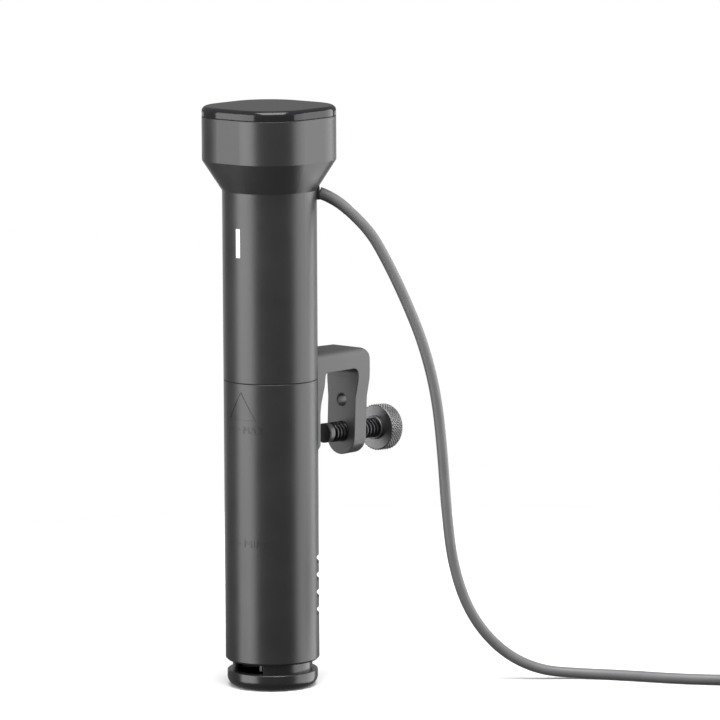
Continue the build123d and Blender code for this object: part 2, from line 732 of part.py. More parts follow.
def cord_gland():
    """The bushing that holds the cord in the housing's wall."""
    gland = gland_cylinder(GLAND_R, 23, GLAND_OUT) + gland_cylinder(5.4, 23, 25)
    return gland - gland_cylinder(2.6, 22, GLAND_OUT - 3)


def relief_point(share):
    """The centre and downward angle of the bent strain relief at a share of its length."""
    first = math.radians(RELIEF_FROM)
    last = math.radians(RELIEF_TO)
    bend_r = RELIEF_LONG / (first - last)
    angle = first + (last - first) * share
    out = GLAND_OUT + bend_r * (math.sin(first) - math.sin(angle))
    high = GLAND_Z + bend_r * (math.cos(angle) - math.cos(first))
    return out, high, angle


def outward(out, high):
    """A point in the upright plane of the cord's exit."""
    x, y = polar(out, CORD_ANGLE)
    return x, y, high


def strain_relief():
    """The short tapered sleeve that bends with the cord."""
    sections = []
    for step in range(5):
        out, high, angle = relief_point(step / 4)
        heading = Vector(*outward(math.cos(angle), math.sin(angle)))
        radius = RELIEF_R + (CORD_R + 0.1 - RELIEF_R) * step / 4
        sections.append(Plane(origin=outward(out, high), z_dir=heading) * Circle(radius))
    return loft(sections)


def cord_route():
    """The free cord's corner points, from the strain relief down to the floor and on to the coil."""
    out, high, _ = relief_point(1)
    points = [outward(out, high)]
    points += [outward(*p) for p in CORD_DROP]
    points += [(x, y, CORD_R) for x, y in CORD_FLOOR]
    x, y = polar(COIL_RADII[0], COIL_ENTRY_ANGLE)
    return points + [(COIL_X + x, COIL_Y + y, CORD_R)]


def corner_radii(points):
    """The largest fair arc at each corner of a route."""
    radii = []
    for before, here, after in zip(points, points[1:], points[2:]):
        a = Vector(*here) - Vector(*before)
        b = Vector(*after) - Vector(*here)
        turn = math.radians(a.get_angle(b))
        radii.append(0.45 * min(a.length, b.length) / math.tan(turn / 2))
    return radii


def cord_tube(name, points):
    """A cord along a route of straight runs and tangent arcs."""
    radii = corner_radii(points)
    path = FilletPolyline(*points, radius=radii)
    tube = sweep(Plane(origin=path @ 0, z_dir=path % 0) * Circle(CORD_R), path=path)
    expected = math.pi * CORD_R ** 2 * path.length
    print(name, "length", round(path.length, 1), "volume share", round(tube.volume / expected, 4))
    print(name, "radii", [round(r, 1) for r in radii])
    return tube


def mains_cord():
    return cord_tube("mains_cord", cord_route())


def tail_route():
    """The cord from the coil's upper outer turn to the plug."""
    x, y = polar(COIL_RADII[0], COIL_EXIT_ANGLE)
    height = CORD_R * (2 * COIL_LAYERS - 1)
    return [(COIL_X + x, COIL_Y + y, height)] + CORD_TAIL


def cord_tail():
    return cord_tube("cord_tail", tail_route())


def cord_coil():
    """The outer shape of the coiled spare cord."""
    outer = COIL_RADII[0] + CORD_R
    inner = COIL_RADII[-1] - CORD_R
    coil = ring(outer, inner, 0, 2 * CORD_R * COIL_LAYERS, COIL_X, COIL_Y)
    return fillet(coil.edges().group_by(Axis.Z)[-1], 2.5)


def coil_tie():
    """The soft strap round the coil."""
    middle = (COIL_RADII[0] + COIL_RADII[-1]) / 2
    wide = COIL_RADII[0] - COIL_RADII[-1] + 2 * CORD_R
    high = 2 * CORD_R * COIL_LAYERS
    band = block((middle - wide / 2 - 1.2, -4, 0.05), (middle + wide / 2 + 1.2, 4, high + 1.2))
    band = fillet(band.edges().filter_by(Axis.Y), 2.6)
    band -= block((middle - wide / 2, -5, 0.8), (middle + wide / 2, 5, high))
    return Pos(COIL_X, COIL_Y, 0) * Rot(0, 0, COIL_EXIT_ANGLE + 100) * band


def plug_frame():
    """A frame at the end of the tail with +X along the plug."""
    ax, ay, _ = CORD_TAIL[-2]
    bx, by, _ = CORD_TAIL[-1]
    return Plane(origin=(bx, by, PLUG_AXIS_Z), x_dir=(bx - ax, by - ay, 0), z_dir=(0, 0, 1))


def plug_relief():
    """The tapered boot behind the plug."""
    cone = Rot(0, 90, 0) * Cone(CORD_R + 0.3, 6.4, PLUG_RELIEF_LONG)
    return plug_frame() * (Pos(PLUG_RELIEF_LONG / 2, 0, 0) * cone)


def plug_body():
    """The moulded plug, lying on its side."""
    body = Pos(PLUG_RELIEF_LONG + PLUG_LONG / 2, 0, 0) * Box(PLUG_LONG, PLUG_WIDE, 2 * PLUG_AXIS_Z - 0.1)
    body = fillet(body.edges().filter_by(Axis.X), 7)
    body = fillet(body.edges().group_by(Axis.X)[0], 5)
    body = fillet(body.edges().group_by(Axis.X)[-1], 1.2)
    return plug_frame() * body


def plug_blades():
    """The two flat blades."""
    start = PLUG_RELIEF_LONG + PLUG_LONG
    blades = []
    for side in (-1, 1):
        z = side * BLADE_SPACING / 2
        low = (start, 3.0, z - BLADE_THICK / 2)
        high = (start + BLADE_LONG, 3.0 + BLADE_WIDE, z + BLADE_THICK / 2)
        blades.append(plug_frame() * block(low, high))
    return Compound(blades)


def plug_earth_pin():
    """The round earth pin."""
    start = PLUG_RELIEF_LONG + PLUG_LONG
    pin = Pos(start + EARTH_LONG / 2, 3.0 + BLADE_WIDE / 2 - EARTH_DROP, 0) * Rot(0, 90, 0)
    pin = pin * Cylinder(EARTH_R, EARTH_LONG)
    return plug_frame() * fillet(pin.edges().group_by(Axis.X)[-1], 1.8)


# ---------------------------------------------------------------- writing

PARTS = [
    upper_housing, top_cover, light_bar_lens, lower_skirt, skirt_inlet, skirt_bands, skirt_rim,
    foot_cap,
    clamp_bracket, clamp_fixing_screws, clamp_screw, pad_swivel, clamp_pad, clamp_knob,
    display_board, display_module, touch_springs, board_screws, buzzer, light_bar_board,
    inner_chassis, power_board, power_relay, filter_capacitor, transformer, triac_heatsink,
    terminal_block,
    bulkhead, housing_screws, bulkhead_seal, skirt_seal, shaft_seal, heater_coil, heater_terminals,
    temperature_probe, level_electrodes, thermal_cutout, bearing_bridge, shaft_bush,
    motor_mount, motor_screws, motor_can, motor_end_cap, motor_stator, motor_bearings,
    motor_rotor, shaft_coupling, drive_shaft, impeller,
    cord_gland, strain_relief, mains_cord, cord_coil, cord_tail, coil_tie,
    plug_relief, plug_body, plug_blades, plug_earth_pin,
]

os.makedirs("parts", exist_ok=True)
for make in PARTS:
    export_step(make(), os.path.join("parts", make.__name__ + ".step"))
print("nodes", len(PARTS))
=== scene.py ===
import json
import math

import bmesh
import bpy
from mathutils import Matrix, Vector


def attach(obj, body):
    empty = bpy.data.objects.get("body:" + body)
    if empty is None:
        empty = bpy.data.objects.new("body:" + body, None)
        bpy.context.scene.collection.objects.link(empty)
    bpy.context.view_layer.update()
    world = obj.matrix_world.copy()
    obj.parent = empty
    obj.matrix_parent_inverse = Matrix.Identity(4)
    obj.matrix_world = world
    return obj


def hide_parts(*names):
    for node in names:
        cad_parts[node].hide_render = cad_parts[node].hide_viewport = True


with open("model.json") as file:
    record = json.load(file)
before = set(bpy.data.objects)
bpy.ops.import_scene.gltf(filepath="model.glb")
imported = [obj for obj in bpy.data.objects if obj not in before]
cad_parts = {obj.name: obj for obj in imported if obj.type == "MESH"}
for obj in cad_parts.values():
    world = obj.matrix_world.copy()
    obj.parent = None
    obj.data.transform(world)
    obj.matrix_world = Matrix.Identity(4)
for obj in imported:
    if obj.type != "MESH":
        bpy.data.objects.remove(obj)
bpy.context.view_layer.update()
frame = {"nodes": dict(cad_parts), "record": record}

NODES = frame["nodes"]

# Camera: where it stands, what it looks at, and how wide the picture is at the object.
CAMERA_AZIMUTH = math.radians(42)
CAMERA_DISTANCE = 3.5
CAMERA_HEIGHT = 0.69
CAMERA_ROLL = math.radians(0.28)
LOOK_ACROSS = 0.053
LOOK_HIGH = 0.195
PICTURE_WIDTH = 0.4268
SENSOR = 36.0

# Stage: the floor, the even light of the room, and the soft boxes. Each box is its azimuth in degrees
# to the right of the camera's, its distance and height, its width and length, and its power.
FLOOR_R = 0.62
FLOOR_PLACE = (0.06, 0.08, 0)
FLOOR_SHADES = (0.80, 0.82)
ROOM_LIGHT = 0.21
LIGHTS_AIM = Vector((0, 0, 0.17))
SOFT_BOXES = {
    "left_box": (-64, 1.5, 0.2, 1.3, 1.8, 38),
    "right_box": (98, 1.5, 0.1, 2.1, 2.0, 48),
    "back_box": (180, 1.5, 0.0, 2.4, 0.5, 2.5),
    "top_box": (10, 0.6, 1.8, 1.4, 1.4, 60),
}

# Cord
CORD_R = 0.00315
CORD_ANGLE = math.radians(45)
RELIEF_END = (0.04644, 0.28418)
# The stretch that hangs, as (distance out from the body's axis, height).
CORD_DROP = [
    (0.058, 0.2738), (0.069, 0.2545), (0.0805, 0.230), (0.091, 0.2035), (0.0985, 0.173),
    (0.102, 0.139), (0.1042, 0.104), (0.108, 0.070), (0.118, 0.0405), (0.136, 0.018),
    (0.159, 0.0055), (0.185, CORD_R),
]
# The stretch on the floor, as (x, y), and the tail from the coil to the plug, as (x, y, z).
CORD_FLOOR = [(0.1545, 0.1432), (0.185, 0.1544), (0.2146, 0.1719)]
CORD_TAIL = [(0.2365, 0.2662, 0.0095), (0.2226, 0.2776, 0.0099), (0.2074, 0.284, 0.0102)]
COIL_CENTRE = (0.2195, 0.2268)
COIL_OUTER_R = 0.0385
COIL_INNER_R = 0.032
COIL_START = -48.0
COIL_TURN_ROWS = [
    (COIL_OUTER_R, CORD_R), (COIL_INNER_R, CORD_R),
    (COIL_INNER_R, 3 * CORD_R), (COIL_OUTER_R, 3 * CORD_R),
]
COIL_TURNS = 4.25
COIL_CROSSING = 0.2      # the last share of each turn, where the cord passes to its next row
POINTS_PER_TURN = 24

# Clamp screw: its axis starts in the middle of the pad's face and falls a little towards the knob.
PAD_MIDDLE = Vector((0, 0.0465, 0.146))
CLAMP_TILT = math.radians(2.5)
SCREW_OUT = Vector((0, math.cos(CLAMP_TILT), -math.sin(CLAMP_TILT)))
SCREW_SIDE = Vector((1, 0, 0))
SCREW_UP = SCREW_SIDE.cross(SCREW_OUT)
THREAD_PITCH = 0.003
THREAD_CREST_R = 0.006
THREAD_ROOT_R = 0.0046
THREAD_FROM = 0.0063
THREAD_TO = 0.0559
THREAD_END = 0.0004      # plain at each end of the thread
THREAD_RIDGE = 0.32      # half of the ridge at its root, in pitches
THREAD_FLANK = 0.12      # one flank, in pitches
THREAD_STEPS = 16        # rings in a pitch
SCREW_SEGMENTS = 48
EDGE_BREAK = 0.0002
NECK_R = 0.003
NECK_HEAD_R = 0.004
NECK_HEAD_FROM = 0.0016
NECK_HEAD_TO = 0.003
KNOB_FROM = 0.0479
KNOB_LONG = 0.010
KNOB_R = 0.0142
KNOB_EDGE = 0.0009
KNOB_DISH_R = 0.0108
KNOB_DISH_DEEP = 0.0004
COLLAR_R = 0.0072
COLLAR_LONG = 0.0025
COLLAR_EDGE = 0.0004
KNURLS = 42
KNURL_DEPTH = 0.0007
KNURL_STEPS = 8

# Marks on the skirt: how far round from the front, and how high.
SKIRT_R = 0.028
MARK_RELIEF = 0.00025
MARK_SUNK = -0.0001      # how far each mark's root is inside the skirt's wall
MARK_LINE = (math.radians(-20.5), math.radians(1))
MARK_LETTERS = (math.radians(6), math.radians(33))
MARK_LETTER_HIGH = 0.0042
MARK_STROKE = 0.0005
MARK_TOP_SHARE = 0.8     # a stroke's top is narrower than its root
STROKE_STEP = 0.001
LEVELS = {"MAX": 0.157, "MIN": 0.089}
TRIANGLE_MIDDLE = math.radians(2.5)
TRIANGLE_LOW = 0.1628
TRIANGLE_HIGH = 0.1792
TRIANGLE_HALF = 0.0098


# ---------------------------------------------------------------- materials

def shade(colour, factor):
    """A lighter or darker shade of a colour."""
    return tuple(min(1.0, c * factor) for c in colour)


class Nodes:
    """A material's node tree with short ways to add and join nodes."""

    def __init__(self, name):
        self.material = bpy.data.materials.new(name)
        self.material.use_nodes = True
        self.tree = self.material.node_tree
        self.shader = self.tree.nodes["Principled BSDF"]
        coords = self.tree.nodes.new("ShaderNodeTexCoord")
        self.place = coords.outputs["Object"]

    def add(self, kind, inputs=None, **settings):
        node = self.tree.nodes.new("ShaderNode" + kind)
        for key, value in settings.items():
            setattr(node, key, value)
        for key, value in (inputs or {}).items():
            self.put(node.inputs[key], value)
        return node

    def put(self, socket, value):
        if isinstance(value, bpy.types.NodeSocket):
            self.tree.links.new(value, socket)
        else:
            socket.default_value = value

    def stretch(self, scale):
        return self.add("Mapping", {"Vector": self.place, "Scale": scale}).outputs["Vector"]

    def noise(self, scale, detail=3.0, rough=0.5, source=None):
        inputs = {"Vector": source or self.place, "Scale": scale, "Detail": detail, "Roughness": rough}
        return self.add("TexNoise", inputs).outputs["Fac"]

    def spread(self, value, low, high, from_low=0.0, from_high=1.0):
        inputs = {"Value": value, "From Min": from_low, "From Max": from_high,
                  "To Min": low, "To Max": high}
        return self.add("MapRange", inputs).outputs["Result"]

    def ramp(self, value, stops):
        node = self.add("ValToRGB", {"Fac": value})
        elements = node.color_ramp.elements
        while len(elements) < len(stops):
            elements.new(0.5)
        for element, (position, colour) in zip(elements, stops):
            element.position = position
            element.color = (*colour, 1.0)
        return node.outputs["Color"]

    def sum(self, a, b, operation="ADD"):
        return self.add("Math", {0: a, 1: b}, operation=operation).outputs["Value"]

    def bump(self, height, distance, strength, before=None):
        inputs = {"Height": height, "Distance": distance, "Strength": strength}
        if before is not None:
            inputs["Normal"] = before
        return self.add("Bump", inputs).outputs["Normal"]

    def soft_edge(self, radius):
        return self.add("Bevel", {"Radius": radius}, samples=4).outputs["Normal"]

    def surface(self, **values):
        names = {"colour": "Base Color", "rough": "Roughness", "metal": "Metallic", "normal": "Normal",
                 "specular": "Specular IOR Level", "subsurface": "Subsurface Weight",
                 "sheen": "Sheen Weight", "sheen_rough": "Sheen Roughness",
                 "glow": "Emission Strength", "glow_colour": "Emission Color"}
        for key, value in values.items():
            self.put(self.shader.inputs[names[key]], value)
        return self.material


def moulded(name, colour, rough, edge=0.0):
    """Moulded plastic: a fine spark-eroded grain, a slow change in sheen, and softened edges."""
    n = Nodes(name)
    slow = n.noise(45.0, 3.0)
    fine = n.noise(2600.0, 2.0, 0.6)
    tone = n.ramp(slow, [(0.3, shade(colour, 0.9)), (0.7, shade(colour, 1.1))])
    sheen = n.spread(n.sum(slow, fine), rough - 0.03, rough + 0.03, 0.7, 1.3)
    normal = n.bump(fine, 0.00001, 0.6, n.soft_edge(edge) if edge else None)
    return n.surface(colour=tone, rough=sheen, normal=normal, specular=0.5)


def polished(name, colour, rough):
    """A glossy moulding with the faint ripple of its mould and a little dust."""
    n = Nodes(name)
    ripple = n.noise(60.0, 2.0)
    dust = n.noise(1400.0, 3.0, 0.7)
    tone = n.ramp(dust, [(0.55, colour), (0.8, shade(colour, 1.25))])
    sheen = n.spread(dust, rough, rough + 0.08, 0.4, 0.8)
    return n.surface(colour=tone, rough=sheen, specular=0.3, normal=n.bump(ripple, 0.00003, 0.25))


def diffuser(name):
    """Milky plastic over a small lamp."""
    n = Nodes(name)
    tone = n.ramp(n.noise(300.0, 2.0), [(0.3, (0.82, 0.83, 0.84)), (0.7, (0.90, 0.90, 0.90))])
    return n.surface(colour=tone, rough=0.35, subsurface=0.1, glow=0.45, glow_colour=(1, 1, 1, 1))


def turned_metal(name, colour, rough, along=(1.0, 1.0, 1.0), scale=900.0):
    """Drawn, turned or plated metal: fine streaks, and patches of a slightly different shade."""
    n = Nodes(name)
    streaks = n.noise(scale, 3.0, 0.6, n.stretch(along))
    patches = n.noise(140.0, 3.0)
    tone = n.ramp(patches, [(0.3, shade(colour, 0.88)), (0.7, shade(colour, 1.08))])
    sheen = n.spread(n.sum(streaks, patches), rough - 0.06, rough + 0.08, 0.6, 1.4)
    return n.surface(colour=tone, rough=sheen, metal=1.0, normal=n.bump(streaks, 0.000006, 0.5))


def soft_rubber(name, colour, rough=0.6):
    """Matt rubber: a chalky bloom over a fine grain."""
    n = Nodes(name)
    bloom = n.noise(220.0, 4.0, 0.65)
    fine = n.noise(1700.0, 2.0)
    tone = n.ramp(bloom, [(0.35, shade(colour, 0.85)), (0.7, shade(colour, 1.2))])
    sheen = n.spread(bloom, rough - 0.06, rough + 0.06)
    return n.surface(colour=tone, rough=sheen, specular=0.35, normal=n.bump(fine, 0.00002, 0.5))


def solder_mask(name):
    """A printed board: green mask, with copper runs that show through as lighter lines."""
    n = Nodes(name)
    layout = {"Vector": n.place, "Scale": 160.0, "Mortar Size": 0.03, "Mortar Smooth": 0.1}
    runs = n.add("TexBrick", layout)
    wander = n.noise(300.0, 2.0)
    lines = n.sum(runs.outputs["Fac"], n.spread(wander, 0.0, 0.4), "MULTIPLY")
    tone = n.ramp(lines, [(0.0, (0.008, 0.055, 0.022)), (0.35, (0.03, 0.14, 0.06))])
    return n.surface(colour=tone, rough=0.28, specular=0.5, normal=n.bump(lines, 0.00003, 0.5))


def marked_component(name, colour, rough):
    """A moulded electronic part: a dull body with a paler band."""
    n = Nodes(name)
    wave = n.add("TexWave", {"Vector": n.place, "Scale": 18.0, "Distortion": 0.4}, bands_direction="Z")
    fine = n.noise(1900.0, 2.0)
    paler = tuple(min(1.0, c * 1.8 + 0.03) for c in colour)
    tone = n.ramp(wave.outputs["Fac"], [(0.9, colour), (0.97, paler)])
    return n.surface(colour=tone, rough=rough, normal=n.bump(fine, 0.00001, 0.6))


def woven(name, colour):
    """A woven strap: threads over and under each other, with a painted highlight where they cross over
    and painted shade in the hollows between them.
    """
    n = Nodes(name)
    across = n.add("TexWave", {"Vector": n.place, "Scale": 420.0}, bands_direction="X").outputs["Fac"]
    down = n.add("TexWave", {"Vector": n.place, "Scale": 420.0}, bands_direction="Z").outputs["Fac"]
    weave = n.sum(across, down, "MULTIPLY")
    fuzz = n.noise(2500.0, 3.0)
    # Painted light: the tone follows the weave's height, a painted highlight on the raised crossings
    # and painted shade in the hollows between threads.
    tone = n.ramp(weave, [(0.1, shade(colour, 0.5)), (0.8, shade(colour, 1.7))])
    normal = n.bump(fuzz, 0.00002, 0.4, n.bump(weave, 0.0001, 0.8))
    return n.surface(colour=tone, rough=0.85, sheen=0.4, sheen_rough=0.5, normal=normal)


def sheath(name, colour):
    """A cord's soft extruded sheath: a faint mottle and a satin skin."""
    n = Nodes(name)
    slow = n.noise(60.0, 3.0)
    fine = n.noise(2200.0, 2.0, 0.6)
    tone = n.ramp(slow, [(0.3, shade(colour, 0.92)), (0.7, shade(colour, 1.08))])
    sheen = n.spread(n.sum(slow, fine), 0.42, 0.5, 0.7, 1.3)
    return n.surface(colour=tone, rough=sheen, specular=0.4, normal=n.bump(fine, 0.000003, 0.4))


def make_materials():
    made = {
        "housing_plastic": moulded("housing_plastic", (0.020, 0.020, 0.021), 0.35, edge=0.0003),
        "skirt_plastic": moulded("skirt_plastic", (0.020, 0.020, 0.021), 0.35),
        "foot_plastic": moulded("foot_plastic", (0.016, 0.016, 0.017), 0.26, edge=0.0003),
        "gloss_cap": polished("gloss_cap", (0.012, 0.012, 0.013), 0.10),
        "light_pipe": diffuser("light_pipe"),
        "clamp_plastic": moulded("clamp_plastic", (0.046, 0.046, 0.047), 0.42, edge=0.0008),
        "dark_steel": turned_metal("dark_steel", (0.055, 0.055, 0.058), 0.36),
        "knob_metal": turned_metal("knob_metal", (0.16, 0.16, 0.163), 0.46),
        "pad_rubber": soft_rubber("pad_rubber", (0.018, 0.018, 0.019)),
        "swivel_plastic": moulded("swivel_plastic", (0.05, 0.05, 0.052), 0.38),
        "steel": turned_metal("steel", (0.55, 0.55, 0.54), 0.26, (1.0, 1.0, 0.08)),
        "screw_steel": turned_metal("screw_steel", (0.42, 0.42, 0.43), 0.34),
        "circuit_board": solder_mask("circuit_board"),
        "component_dark": marked_component("component_dark", (0.014, 0.014, 0.015), 0.5),
        "component_blue": marked_component("component_blue", (0.02, 0.06, 0.20), 0.3),
        "component_white": marked_component("component_white", (0.60, 0.60, 0.57), 0.5),
        "copper_bronze": turned_metal("copper_bronze", (0.50, 0.27, 0.12), 0.35),
        "aluminium_fins": turned_metal("aluminium_fins", (0.62, 0.62, 0.63), 0.3, (1.0, 1.0, 0.05)),
        "frame_plastic": moulded("frame_plastic", (0.42, 0.42, 0.40), 0.48),
        "seal_rubber": soft_rubber("seal_rubber", (0.18, 0.03, 0.025)),
        "magnet": turned_metal("magnet", (0.06, 0.06, 0.065), 0.55, scale=2000.0),
        "impeller_plastic": moulded("impeller_plastic", (0.03, 0.03, 0.031), 0.42),
        "cord_sheath": sheath("cord_sheath", (0.135, 0.135, 0.138)),
        "plug_rubber": soft_rubber("plug_rubber", (0.045, 0.045, 0.046), 0.5),
        "plug_metal": turned_metal("plug_metal", (0.66, 0.60, 0.46), 0.25),
        "tie_strap": woven("tie_strap", (0.02, 0.02, 0.02)),
    }
    slots = {row["node"]: row["material_slot"] for row in frame["record"]["subparts"]}
    for node, obj in NODES.items():
        obj.data.materials.clear()
        obj.data.materials.append(made[slots[node]])
    return made


# ---------------------------------------------------------------- mesh pieces

def piece(name, mesh, body, slot, smooth=True):
    """Puts a mesh in the scene as a piece on a body, with its slot's material."""
    obj = bpy.data.objects.new(name, mesh)
    bpy.context.scene.collection.objects.link(obj)
    mesh.materials.append(MATERIALS[slot])
    for polygon in mesh.polygons:
        polygon.use_smooth = smooth
    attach(obj, body)
    return obj


def turned(name, rings, segments):
    """A closed mesh round the clamp screw's axis; each ring is how far along, and a radius by angle."""
    vertices = []
    faces = []
    for along, radius_at in rings:
        for step in range(segments):
            angle = 2 * math.pi * step / segments
            radius = radius_at(along, angle)
            spoke = math.cos(angle) * SCREW_SIDE + math.sin(angle) * SCREW_UP
            vertices.append(PAD_MIDDLE + along * SCREW_OUT + radius * spoke)
    for row in range(len(rings) - 1):
        for step in range(segments):
            after = (step + 1) % segments
            a = row * segments
            b = a + segments
            faces.append((a + step, b + step, b + after, a + after))
    last = (len(rings) - 1) * segments
    faces.append(tuple(range(segments)))
    faces.append(tuple(last + step for step in reversed(range(segments))))
    mesh = bpy.data.meshes.new(name)
    mesh.from_pydata(vertices, [], faces)
    return mesh


def fixed(radius):
    """A radius that is the same all round."""
    return lambda along, angle: radius


def thread_radius(along, angle):
    """A trapezoidal right-hand thread: flat crests, flat roots and straight flanks."""
    phase = (along / THREAD_PITCH + angle / (2 * math.pi)) % 1.0
    off_crest = abs(phase - 0.5)
    share = min(1.0, max(0.0, (THREAD_RIDGE - off_crest) / THREAD_FLANK))
    return THREAD_ROOT_R + (THREAD_CREST_R - THREAD_ROOT_R) * share


def make_screw():
    """The spindle with its real thread, and the neck and head that the pad's swivel turns on."""
    rings = [(NECK_HEAD_FROM, fixed(NECK_HEAD_R)), (NECK_HEAD_TO, fixed(NECK_HEAD_R)),
             (NECK_HEAD_TO, fixed(NECK_R)), (THREAD_FROM, fixed(NECK_R)),
             (THREAD_FROM, fixed(THREAD_ROOT_R - EDGE_BREAK))]
    step = THREAD_PITCH / THREAD_STEPS
    count = int((THREAD_TO - THREAD_FROM - 2 * THREAD_END) / step)
    rings += [(THREAD_FROM + THREAD_END + number * step, thread_radius) for number in range(count)]
    rings.append((THREAD_TO, fixed(THREAD_ROOT_R)))
    mesh = turned("screw_thread", rings, SCREW_SEGMENTS)
    screw = piece("screw_thread", mesh, "screw_and_knob", "dark_steel")
    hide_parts("clamp_screw")


def knurl_radius(along, angle):
    """Diamond points raised between two sets of crossing grooves."""
    around = KNURLS * angle / (2 * math.pi)
    across = along * KNURLS / (2 * math.pi * KNOB_R)
    first = 1 - abs(2 * ((around + across) % 1.0) - 1)
    second = 1 - abs(2 * ((around - across) % 1.0) - 1)
    return KNOB_R - KNURL_DEPTH * (1 - min(first, second))


def make_knob():
    """The knob with its collar, its knurled rim and a shallow dish in its face."""
    face_r = KNOB_R - KNOB_EDGE
    knurl_from = KNOB_FROM + KNOB_EDGE
    knurl_to = KNOB_FROM + KNOB_LONG - KNOB_EDGE
    knob_to = KNOB_FROM + KNOB_LONG
    step = 2 * math.pi * KNOB_R / KNURLS / KNURL_STEPS
    count = int((knurl_to - knurl_from) / step)
    collar_from = KNOB_FROM - COLLAR_LONG
    rings = [(THREAD_TO, fixed(THREAD_CREST_R)), (collar_from, fixed(THREAD_CREST_R)),
             (collar_from, fixed(COLLAR_R - COLLAR_EDGE)),
             (collar_from + COLLAR_EDGE, fixed(COLLAR_R)),
             (KNOB_FROM, fixed(COLLAR_R)), (KNOB_FROM, fixed(face_r - EDGE_BREAK)),
             (KNOB_FROM + EDGE_BREAK / 2, fixed(face_r))]
    rings += [(knurl_from + number * step, knurl_radius) for number in range(count + 1)]
    rings += [(knob_to - EDGE_BREAK / 2, fixed(face_r)), (knob_to, fixed(face_r - EDGE_BREAK)),
              (knob_to, fixed(KNOB_DISH_R)),
              (knob_to - KNOB_DISH_DEEP, fixed(KNOB_DISH_R - KNOB_DISH_DEEP))]
    mesh = turned("knurled_knob", rings, KNURLS * KNURL_STEPS)
    knob = piece("knurled_knob", mesh, "screw_and_knob", "knob_metal", smooth=False)
    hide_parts("clamp_knob")


def wrapped(across, high, relief):
    """A point on the skirt, from how far round it is from the front and how high."""
    angle = across / SKIRT_R - math.pi / 2
    radius = SKIRT_R + relief
    return Vector((radius * math.cos(angle), radius * math.sin(angle), high))


def stroke(mesh, start, end):
    """A raised straight stroke on the skirt between two places, each (across, high)."""
    start = Vector(start)
    end = Vector(end)
    side = (end - start).normalized().orthogonal() * MARK_STROKE / 2
    steps = max(1, round((end - start).length / STROKE_STEP))
    rows = []
    for step in range(steps + 1):
        middle = start.lerp(end, step / steps)
        top_side = side * MARK_TOP_SHARE
        corners = [(middle - side, MARK_SUNK), (middle - top_side, MARK_RELIEF),
                   (middle + top_side, MARK_RELIEF), (middle + side, MARK_SUNK)]
        rows.append([mesh.verts.new(wrapped(place.x, place.y, relief)) for place, relief in corners])
    for row, after in zip(rows, rows[1:]):
        for corner in range(4):
            follow = (corner + 1) % 4
            mesh.faces.new((row[corner], after[corner], after[follow], row[follow]))
    mesh.faces.new(rows[0])
    mesh.faces.new(tuple(reversed(rows[-1])))


def letters(mesh, word, high):
    """A level's generic name, raised on the skirt."""
    curve = bpy.data.curves.new(word, "FONT")
    curve.body = word
    curve.extrude = 0.02
    source = bpy.data.objects.new(word, curve)
    bpy.context.scene.collection.objects.link(source)
    bpy.context.view_layer.update()
    flat = bpy.data.meshes.new_from_object(source)
    bpy.data.objects.remove(source)
    low = min(v.co.x for v in flat.vertices)
    wide = max(v.co.x for v in flat.vertices) - low
    tall = max(v.co.y for v in flat.vertices)
    start, end = (angle * SKIRT_R for angle in MARK_LETTERS)
    placed = []
    for vertex in flat.vertices:
        across = start + (vertex.co.x - low) / wide * (end - start)
        up = high + (vertex.co.y / tall - 0.5) * MARK_LETTER_HIGH
        relief = MARK_RELIEF if vertex.co.z > 0 else MARK_SUNK
        placed.append(mesh.verts.new(wrapped(across, up, relief)))
    for polygon in flat.polygons:
        mesh.faces.new([placed[index] for index in polygon.vertices])


def make_marks():
    """The lowest and highest water levels, and a plain three-sided mark above them."""
    mesh = bmesh.new()
    for word, high in LEVELS.items():
        start, end = (angle * SKIRT_R for angle in MARK_LINE)
        stroke(mesh, (start, high), (end, high))
        letters(mesh, word, high)
    middle = TRIANGLE_MIDDLE * SKIRT_R
    left = (middle - TRIANGLE_HALF, TRIANGLE_LOW)
    right = (middle + TRIANGLE_HALF, TRIANGLE_LOW)
    top = (middle, TRIANGLE_HIGH)
    for start, end in ((left, right), (right, top), (top, left)):
        stroke(mesh, start, end)
    bmesh.ops.recalc_face_normals(mesh, faces=mesh.faces)
    made = bpy.data.meshes.new("level_marks")
    mesh.to_mesh(made)
    mesh.free()
    piece("level_marks", made, "housing", "skirt_plastic", smooth=False)


# ---------------------------------------------------------------- cord

def outward(out, high):
    """A point in the upright plane of the cord's exit."""
    return Vector((out * math.cos(CORD_ANGLE), out * math.sin(CORD_ANGLE), high))


def coil_points():
    """Four turns and a quarter: outer and inner below, then inner and outer on top of them."""
    points = []
    total = int(POINTS_PER_TURN * COIL_TURNS)
    last = len(COIL_TURN_ROWS) - 1
    for step in range(total + 1):
        turn = step / POINTS_PER_TURN
        row = min(last, int(turn))
        after = min(last, row + 1)
        crossed = (turn - row - (1 - COIL_CROSSING)) / COIL_CROSSING
        share = max(0.0, crossed) if row < last else 0.0
        radius = COIL_TURN_ROWS[row][0] * (1 - share) + COIL_TURN_ROWS[after][0] * share
        high = COIL_TURN_ROWS[row][1] * (1 - share) + COIL_TURN_ROWS[after][1] * share
        angle = math.radians(COIL_START + 360 * turn)
        x = COIL_CENTRE[0] + radius * math.cos(angle)
        y = COIL_CENTRE[1] + radius * math.sin(angle)
        points.append(Vector((x, y, high)))
    return points


def cord_points():
    points = [outward(*RELIEF_END)]
    points += [outward(*p) for p in CORD_DROP]
    points += [Vector((x, y, CORD_R)) for x, y in CORD_FLOOR]
    return points + coil_points() + [Vector(p) for p in CORD_TAIL]


